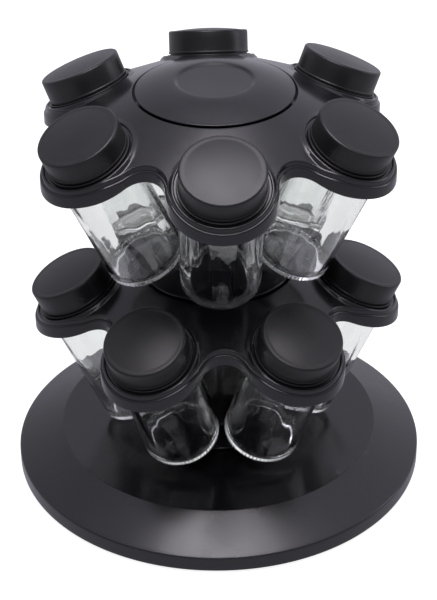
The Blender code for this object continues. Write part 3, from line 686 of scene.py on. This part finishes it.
def lidProfile():
    radius, shoulder = lid["radius"], lid["rise"] - lid["dome"]
    waist, under, collar = radius - lid["grooveDepth"], shoulder - lid["top"], radius + lid["bead"]
    # a bead above the groove, a straight side, a rounded corner, a narrow flat rim and a low dome
    dome = [(lid["domeRadius"] * share, shoulder + lid["dome"] * (1 - share ** 2), 0)
            for share in (0.93, 0.88, 0.82, 0.75, 0.67, 0.58, 0.5, 0.4, 0.3, 0.2, 0.1, 0)]
    return roundedPath([
        (0, under, 0), (lid["inside"], under, 0.6), (lid["inside"], lid["foot"], 0.3),
        (lid["flange"], lid["foot"], 0.3), (lid["flange"], lid["flangeTop"], 0.4),
        (waist, lid["grooveLow"], 0.1), (waist, lid["grooveHigh"], 0.1), (collar, lid["grooveHigh"], 0.2),
        (collar, lid["beadHigh"], 0.3), (radius, lid["beadHigh"] + 0.35, 0.3),
        (radius, shoulder, lid["edge"]), (lid["domeRadius"], shoulder, 8.0), *dome], 4)


def addLids(material):
    profile = resampled(lidProfile(), lid["longest"]) * mm
    for label, seat in sorted(seats.items()):
        grid = turnedGrid(profile, lid["sides"])
        faces = gridFaces(len(profile), lid["sides"], False, True)
        mesh = buildMesh("lidCap_" + label, [(placed(grid, seat["matrix"]), faces)])
        addPiece("lidCap_" + label, mesh, material, "lid_" + label, "lid_" + label)


# ---- shaker inserts

sifter = {"deck": 12.9, "thick": 0.9, "rim": 20.2, "plug": 18.0, "low": 6.1, "wall": 1.2, "hole": 2.2,
          "holes": 3, "holeRing": 8.5, "inner": 2.5, "outer": 14.5, "sides": 108}


def sifterDeck(height):
    # each sector's cell runs from its hole's edge to the cell's border, which is a stretch of polar grid
    sector = 2 * math.pi / sifter["holes"]
    steps = sifter["sides"] // sifter["holes"]
    across = np.linspace(-sector / 2, sector / 2, steps + 1)
    upward = np.linspace(sifter["inner"], sifter["outer"], 13)
    border = [(sifter["outer"], a) for a in across] + [(r, sector / 2) for r in upward[::-1][1:]]
    border += [(sifter["inner"], a) for a in across[::-1][1:]] + [(r, -sector / 2) for r in upward[1:-1]]
    border = np.array(border)
    edge = np.stack((border[:, 0] * np.cos(border[:, 1]), border[:, 0] * np.sin(border[:, 1])), -1)
    middle = np.array((sifter["holeRing"], 0))
    toEdge = edge - middle
    rim = toEdge / np.linalg.norm(toEdge, axis=1)[:, None] * sifter["hole"] + middle
    share = np.linspace(0, 1, 7)[:, None, None]
    cell = rim + (edge - rim) * share
    return np.concatenate((cell, np.full(cell.shape[:2] + (1,), height)), -1)


def turnAbout(points, angle):
    c, s = math.cos(angle), math.sin(angle)
    return np.stack((points[..., 0] * c - points[..., 1] * s, points[..., 0] * s + points[..., 1] * c,
                     points[..., 2]), -1)


def sifterParts():
    top, under = sifter["deck"] + sifter["thick"], sifter["deck"]
    upper, lower = sifterDeck(top), sifterDeck(under)
    rows, columns = upper.shape[:2]
    parts = []
    for number in range(sifter["holes"]):
        angle = number * 2 * math.pi / sifter["holes"]
        for cell in (upper, lower, np.stack((upper[0], lower[0]))):
            parts.append((turnAbout(cell, angle) * mm, gridFaces(cell.shape[0], columns, False, True)))
    cup = roundedPath([
        (sifter["outer"], top, 0), (sifter["rim"], top, 0.3), (sifter["rim"], under, 0.2),
        (sifter["plug"], under, 0.1), (sifter["plug"], sifter["low"], 0.4),
        (sifter["plug"] - sifter["wall"], sifter["low"], 0.4), (sifter["plug"] - sifter["wall"], under, 0.3),
        (sifter["outer"], under, 0)], 4) * mm
    parts.append((turnedGrid(cup, sifter["sides"]), gridFaces(len(cup), sifter["sides"], False, True)))
    for height in (top, under):
        middle = np.array(((0, height), (sifter["inner"], height))) * mm
        parts.append((turnedGrid(middle, sifter["sides"]), gridFaces(2, sifter["sides"], False, True)))
    return parts


def addSifters(material):
    parts = sifterParts()
    for label, seat in sorted(seats.items()):
        moved = [(placed(points, seat["matrix"]), faces) for points, faces in parts]
        mesh = buildMesh("shaker_" + label, moved, 35.0)
        addPiece("shaker_" + label, mesh, material, "jar_" + label, "sifter_" + label)


# ---- tiers

tier = {"setback": 4.5, "valley": 3.2, "skirt": 9.5, "wall": 2.2, "edge": 1.1, "step": 1.2,
        "drop": 2.2, "bead": 1.3, "capEdge": 0.45, "rise": 0.3,
        "shell": 2.42, "platform": 3.4, "hole": 24.4, "moatDepth": 1.1, "moat": 27.2, "rim": 27.85,
        "blendFrom": 28.0, "blendTo": 30.4, "capSeat": 48.3, "lobeSteps": 30, "valleySteps": 18,
        "sideSteps": 10, "arcSteps": 24, "rows": 16, "underRows": 8}


def halfOutline(lobeCentre, valleyRadius, lobeRadius):
    # a lobe arc from straight out to where it touches the valley's arc, then that arc to its middle
    half = math.pi / 6
    a, v, r, c = lobeCentre, valleyRadius, lobeRadius, math.cos(math.pi / 6)
    valley = (a * a + v * v - 2 * a * v * c - r * r) / (2 * (r + a * c - v))
    distance = v + valley
    lean = math.atan2(distance * math.sin(half), distance * c - a)
    turn = np.linspace(0, lean, tier["lobeSteps"] + 1)
    back = np.linspace(lean, half, tier["valleySteps"] + 1)[1:] + math.pi
    outwards, inwards = (np.stack((np.cos(angle), np.sin(angle)), -1) for angle in (turn, back))
    lobe = np.array((a, 0)) + r * outwards
    dip = distance * np.array((c, math.sin(half))) + valley * inwards
    return np.vstack((lobe, dip)), np.vstack((outwards, -inwards))


def smooth(value, low, high):
    share = np.clip((value - low) / (high - low), 0, 1)
    return share * share * (3 - 2 * share)


class TierShape:
    # heights of a tier in one sector's own frame, in mm: x outwards through the seat, z up
    def __init__(self, seat, tierRadius):
        self.radius = seat["radius"] / mm
        self.height = seat["height"] / mm
        self.tilt = seat["tilt"]
        self.lobeCentre = self.radius - tier["setback"]
        self.lobeRadius = tierRadius / mm - self.lobeCentre

    def away(self, x, y):
        return np.hypot((x - self.radius) / math.cos(self.tilt), y)

    def top(self, x, y):
        # a cone about the axis that turns into the seat's tilted plane near the seat
        flat = 1 - smooth(self.away(x, y), tier["blendFrom"], tier["blendTo"])
        reach = np.hypot(x, y)
        slope = math.tan(self.tilt) * (reach - flat * (reach - x) - self.radius)
        return self.height - slope - tier["rise"] * (1 - flat)

    def under(self, x, y):
        near = 1 - smooth(self.away(x, y), 27.5, 32.0)
        extra = tier["platform"] / math.cos(self.tilt) - tier["shell"]
        return self.top(x, y) - tier["shell"] - near * extra

    def local(self, radius, angle, depth):
        # a point at radius and angle round the seat's axis, depth along it
        x = self.radius + radius * np.cos(angle) * math.cos(self.tilt) + depth * math.sin(self.tilt)
        z = self.height - radius * np.cos(angle) * math.sin(self.tilt) + depth * math.cos(self.tilt)
        return np.stack((x, radius * np.sin(angle), z), -1)

    def lean(self, points, normals):
        step = 0.05
        ahead, behind = points + normals * step, points - normals * step
        rise = self.top(ahead[:, 0], ahead[:, 1]) - self.top(behind[:, 0], behind[:, 1])
        return np.arctan(-rise / (2 * step))


def edgeRows(shape, points, normals, rounding, step):
    # the tier's edge: an arc that leaves the top face smoothly, a step with a bead below it,
    # the skirt, its foot and its inner wall
    lean = shape.lean(points, normals)
    start = points + normals * (rounding * (np.sin(lean) - 1) - step)[:, None]
    centre = shape.top(start[:, 0], start[:, 1]) - rounding * np.cos(lean)
    foot = shape.top(points[:, 0], points[:, 1]) - tier["skirt"]
    inner = points - normals * tier["wall"]
    ceiling = shape.under(inner[:, 0], inner[:, 1])
    small, wall = 0.5, tier["wall"]
    rows = []
    for share in np.linspace(0, 1, 9):
        angle = lean + (math.pi / 2 - lean) * share
        rows.append((rounding * (np.sin(angle) - 1) - step, centre + rounding * np.cos(angle)))
    if step:
        bead = tier["bead"]
        first = math.asin(1 - step / bead)
        crown = centre - tier["drop"]
        for angle in np.linspace(first, math.pi / 2, 8):
            rows.append((bead * (math.sin(angle) - 1) + 0 * foot,
                         crown + bead * (math.cos(angle) - math.cos(first))))
        centre = crown - bead * math.cos(first)
    for share in (0.33, 0.66):
        rows.append((0 * foot, centre + (foot + small - centre) * share))
    for angle in np.linspace(0, math.pi / 2, 5):
        rows.append((small * (math.cos(angle) - 1) + 0 * foot, foot + small * (1 - math.sin(angle))))
    for angle in np.linspace(math.pi / 2, math.pi, 5):
        rows.append((small * (math.cos(angle) + 1) - wall + 0 * foot, foot + small * (1 - math.sin(angle))))
    for share in (0.5, 1.0):
        rows.append((0 * foot - wall, foot + small + (ceiling - foot - small) * share))
    grid = [np.column_stack((points + normals * offset[:, None], height)) for offset, height in rows]
    return np.stack(grid)


def tierParts(shape):
    outline, normals = halfOutline(shape.lobeCentre, shape.lobeCentre - tier["valley"], shape.lobeRadius)
    mirror = np.array((1, -1))
    points = np.vstack((outline[:0:-1] * mirror, outline))
    facing = np.vstack((normals[:0:-1] * mirror, normals))
    outer = edgeRows(shape, points, facing, tier["edge"], tier["step"])
    turn = np.linspace(math.pi / 6, -math.pi / 6, tier["arcSteps"] + 1)
    arc = np.stack((np.cos(turn), np.sin(turn)), -1)
    inner = edgeRows(shape, arc * tier["capSeat"], -arc, tier["capEdge"], 0)

    def loop(row):
        # round the sector: outline, one side, the cap seat's arc, the other side
        far, near = outer[row][:, :2], inner[row][:, :2]
        shares = np.linspace(0, 1, tier["sideSteps"] + 2)[1:-1, None]
        oneSide = far[-1] + (near[0] - far[-1]) * shares
        otherSide = near[-1] + (far[0] - near[-1]) * shares
        return np.vstack((far, oneSide, near, otherSide))

    border, ceiling = loop(0), loop(-1)
    angles = np.arctan2(border[:, 1], (border[:, 0] - shape.radius) / math.cos(shape.tilt))
    bore = resampled(roundedPath([
        (tier["hole"], -tier["platform"], 0), (tier["hole"], -tier["moatDepth"], 0.25),
        (tier["moat"], -tier["moatDepth"], 0.3), (tier["moat"], 0, 0.5), (tier["rim"], 0, 0)], 6), 1.0)
    rows = [shape.local(radius, angles, depth) for radius, depth in bore]
    flat = rows[-1][:, :2]
    for share in np.linspace(0, 1, tier["rows"] + 1)[1:]:
        spot = flat + (border - flat) * share
        rows.append(np.column_stack((spot, shape.top(spot[:, 0], spot[:, 1]))))
    top = np.stack(rows)
    rows = []
    for share in np.linspace(0, 1, tier["underRows"] + 1):
        spot = top[0][:, :2] + (ceiling - top[0][:, :2]) * share
        rows.append(np.column_stack((spot, shape.under(spot[:, 0], spot[:, 1]))))
    under = np.stack(rows)
    return [(top, gridFaces(*top.shape[:2], False, True)), (under, gridFaces(*under.shape[:2], False, True)),
            (outer, gridFaces(*outer.shape[:2], False, False)),
            (inner, gridFaces(*inner.shape[:2], False, False))]


hub = {"drop": 7.0, "wall": 2.2, "play": 0.4, "collar": 6.0, "bore": 4.4, "overlap": 1.0, "sides": 144}


def addTier(name, material):
    labels = [label for label in sorted(seats) if label.startswith(name)]
    seat = seats[labels[0]]
    low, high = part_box(name + "_tier")
    shape = TierShape(seat, max(high.x, high.y))
    parts = [(turnAbout(points, seats[label]["angle"]) * mm, faces) for label in labels
             for points, faces in tierParts(shape)]
    mesh = buildMesh(name + "Star", parts, 45.0)
    addPiece(name + "Star", mesh, material, "carousel", name + "_tier")
    floor = shape.top(tier["capSeat"], 0.0) - hub["drop"]
    under, mouth, rim = floor - hub["wall"], columnRadius() + hub["play"], tier["capSeat"] + hub["overlap"]
    collar, foot = mouth + hub["wall"], under - hub["collar"]
    ring = roundedPath([
        (hub["bore"], floor, 0), (hub["bore"], under, 0), (mouth, under, 0.2), (mouth, foot, 0.3),
        (collar, foot, 0.3), (collar, under, 0.8), (rim, under, 0), (rim, floor, 0)], 5, True) * mm
    turnedPiece(name + "Hub", ring, hub["sides"], material, "carousel")


# ---- cap and columns

cap = {"rise": 6.3, "gap": 0.6, "dish": 1.15, "dishRadius": 23.7, "dishFloor": 20.6, "edge": 0.7,
       "overhang": 3.4, "thick": 2.0, "ringDepth": 6.7, "sides": 192}


def columnRadius():
    # the tube's radius, from its highest points
    node = frame["nodes"]["upper_column"]
    points = np.array([vertex.co[:] for vertex in node.data.vertices])
    upper = points[points[:, 2] > points[:, 2].max() - 1e-5]
    return np.hypot(upper[:, 0], upper[:, 1]).max() / mm


def domeHeights(radii, inner, outer, rise):
    # a dome that steepens outwards: rise times one minus the share to the power one and a half
    return rise * (1 - ((radii - inner) / (outer - inner)) ** 1.5)


def addCap(material):
    low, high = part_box("top_cap")
    radius, crown = high.x / mm - cap["gap"], high.z / mm + cap["gap"]
    edge = crown - cap["rise"]
    lip, ring = radius - cap["overhang"], radius - cap["overhang"] - cap["thick"]
    radii = np.linspace(cap["dishRadius"] + 0.9, radius - 0.5, 18)
    dome = np.column_stack((radii, edge + domeHeights(radii, cap["dishRadius"], radius, cap["rise"])))
    inner = dome[dome[:, 0] < ring] - np.array((0, cap["thick"]))
    floor = crown - cap["dish"]
    crest = crown - 0.05
    below = roundedPath([
        (0, floor - cap["thick"], 0), (cap["dishFloor"], floor - cap["thick"], 1.0), (*inner[0], 0)], 5)
    rimLine = roundedPath([
        (*inner[-1], 0), (ring, inner[-1][1] - 0.4, 0.5), (ring, edge - cap["ringDepth"], 0.3),
        (lip, edge - cap["ringDepth"], 0.3), (lip, edge - cap["edge"], 0.3),
        (radius, edge - cap["edge"], 0.2), (radius, edge + 0.1, 0.5), (*dome[-1], 0)], 5)
    bowl = roundedPath([
        (*dome[0], 0), (cap["dishRadius"] - 0.1, crest, 0.5), (cap["dishFloor"] + 1.0, floor, 0.8),
        (0, floor - 0.15, 0)], 6)
    profile = np.vstack((below, inner[1:-1], rimLine, dome[::-1][1:-1], bowl))
    turnedPiece("domedCap", profile * mm, cap["sides"], material, "carousel", "top_cap",
                closed=False)


column = {"bore": 4.4, "socket": 34.0, "flange": 7.1, "edge": 1.4, "wall": 2.0, "floor": 2.2,
          "longest": 6.0, "sides": 160}


def addColumn(name, footRadius, material):
    # a domed foot with a tube standing on it
    low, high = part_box(name)
    bottom, top, tube = low.z / mm, high.z / mm, columnRadius()
    flange, floor, bore = bottom + column["flange"], bottom + column["floor"], tube - column["wall"]
    edge = flange + column["edge"]
    radii = np.linspace(tube + 1.2, footRadius - 0.4, 16)
    dome = np.column_stack((radii, edge + domeHeights(radii, tube, footRadius, cap["rise"])))
    foot = roundedPath([
        (column["bore"], bottom, 0), (column["socket"], bottom, 0.5), (column["socket"], flange, 0.3),
        (footRadius, flange, 0.4), (footRadius, edge, 0.5), (*dome[-1], 0)], 5)
    shaft = roundedPath([
        (*dome[0], 0), (tube, edge + cap["rise"] + 0.6, 1.2), (tube, top, 0.4), (bore, top, 0.4),
        (bore, floor, 1.0), (column["bore"], floor, 0)], 5)
    profile = resampled(np.vstack((foot, dome[::-1][1:-1], shaft)), column["longest"]) * mm
    turnedPiece(name + "Shell", profile, column["sides"], material, "carousel", name)


# ---- base

base = {"rim": 9.5, "band": 28.5, "wall": 2.5, "well": 35.2, "wellWall": 2.4, "raceGap": 0.3, "hole": 6.4,
        "sides": 480, "longest": 2.6, "dent": 0.4, "dentWidth": 1.4}


def addBase(material):
    low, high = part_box("base_cover")
    radius, top, bottom = high.x / mm, high.z / mm, low.z / mm
    rimTop, plateau, inner = bottom + base["rim"], radius - base["band"], radius - base["wall"]
    ceiling = top - base["wall"]
    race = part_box("bearing_race")[0].z / mm - base["raceGap"]
    lowFloor, wellFloor, well = race - base["wellWall"], race, base["well"]
    wellOut = well + base["wall"]
    profile = roundedPath([
        (base["hole"], lowFloor, 0.2), (wellOut, lowFloor, 0.6), (wellOut, ceiling, 1.0),
        (plateau - 0.6, ceiling, 0.8), (inner, rimTop - base["wall"], 1.0), (inner, bottom, 0.4),
        (radius, bottom, 0.7), (radius, rimTop, 1.4), (plateau, top, 0.35), (well, top, 0.7),
        (well, wellFloor, 0.5), (base["hole"], wellFloor, 0.2)], 6, True)
    profile = resampled(np.vstack((profile, profile[:1])), base["longest"])[:-1]
    grid = turnedGrid(profile * mm, base["sides"])
    # shallow sink marks over the screw bosses
    for number in (1, 2, 3):
        lowCorner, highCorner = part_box("base_screw_" + str(number))
        spot = (lowCorner + highCorner) / 2
        away = np.hypot(grid[..., 0] - spot.x, grid[..., 1] - spot.y) / mm
        onTop = grid[..., 2] > (top - 0.01) * mm
        grid[..., 2] -= base["dent"] * mm * np.exp(-(away / base["dentWidth"]) ** 2) * onTop
    mesh = buildMesh("baseShell", [(grid, gridFaces(len(profile), base["sides"], True, True))], 45.0)
    addPiece("baseShell", mesh, material, "base", "base_cover")


def addPlate(material):
    low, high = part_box("base_plate")
    radius, bottom, top = high.x / mm, low.z / mm, high.z / mm
    profile = roundedPath([
        (0, bottom + 0.5, 0), (28, bottom + 0.5, 0.3), (28.6, bottom, 0.3), (60, bottom, 0.3),
        (60.6, bottom + 0.5, 0.3), (66, bottom + 0.5, 0.3), (66.6, bottom, 0.3), (radius, bottom, 0.4),
        (radius, top, 0.4), (0, top, 0)], 4)
    turnedPiece("bottomPlate", resampled(profile, 8.0) * mm, 240, material, "base",
                "base_plate", closed=False)


def addFeet(material):
    for number in (1, 2, 3, 4):
        low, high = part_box("rubber_foot_" + str(number))
        centre, radius, top = (low + high) / 2, (high.x - low.x) / 2 / mm, high.z / mm
        profile = roundedPath([
            (0, 0.25, 0), (5.6, 0.25, 0.2), (6.0, 0, 0.15), (radius, 0, 0.6), (radius, top, 0.2),
            (0, top, 0)], 4)
        turnedPiece("footPad_" + str(number), profile * mm, 64, material, "base",
                    "rubber_foot_" + str(number), (centre.x, centre.y, 0), False)


screw = {"head": 3.2, "shaft": 1.3, "slot": 0.42, "slotLength": 1.9, "slotDepth": 0.75, "sides": 64}


def addScrews(material):
    # a flat domed head with a crossed slot pressed into its face, and a plain tapered shaft
    for number in (1, 2, 3):
        low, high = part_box("base_screw_" + str(number))
        centre = (low + high) / 2
        bottom, top = low.z / mm, high.z / mm
        profile = resampled(roundedPath([
            (0, bottom, 0), (screw["head"], bottom + 0.15, 0.4), (screw["head"], bottom + 1.2, 0.1),
            (screw["shaft"], bottom + 1.2, 0.2), (screw["shaft"], top - 1.6, 0.3), (0, top, 0)], 4), 0.3)
        grid = turnedGrid(profile, screw["sides"])
        x, y = np.abs(grid[..., 0]), np.abs(grid[..., 1])
        along, across = np.maximum(x, y), np.minimum(x, y)
        press = smooth(-across, -screw["slot"] - 0.12, -screw["slot"] + 0.12)
        press = press * smooth(-along, -screw["slotLength"] - 0.3, -screw["slotLength"])
        grid[..., 2] += screw["slotDepth"] * press * (grid[..., 2] < bottom + 0.3)
        points = grid * mm + np.array((centre.x, centre.y, 0))
        faces = gridFaces(len(profile), screw["sides"], False, True)
        mesh = buildMesh("plateScrew_" + str(number), [(points, faces)])
        addPiece("plateScrew_" + str(number), mesh, material, "base", "base_screw_" + str(number))


def finishHiddenNodes(steel, nylon):
    # the fastening and the bearing keep their CAD shape
    hidden = {"tie_rod": steel, "tie_nut": steel, "nut_washer": steel, "rod_washer": steel,
              "bearing_race": steel, "ball_cage": nylon, "pivot_bush": nylon}
    for node, material in hidden.items():
        slots = frame["nodes"][node].data.materials
        slots.clear()
        slots.append(material)


satinBlack, lidBlack, nylon = (plasticMaterial(name) for name in ("satinBlack", "lidBlack", "nylon"))
steel = steelMaterial()
print("materials made")
addJars(glassMaterial())
print("jars made")
addLids(lidBlack)
addSifters(sifterMaterial())
print("lids and shaker inserts made")
addTier("upper", satinBlack)
addTier("lower", satinBlack)
print("tiers made")
addCap(satinBlack)
addColumn("upper_column", 47.6, satinBlack)
addColumn("lower_column", 40.0, satinBlack)
print("cap and columns made")
addBase(baseMaterial(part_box("base_cover")[1].x - base["band"] * mm))
addPlate(satinBlack)
addFeet(rubberMaterial())
addScrews(steel)
finishHiddenNodes(steel, nylon)
print("base made")
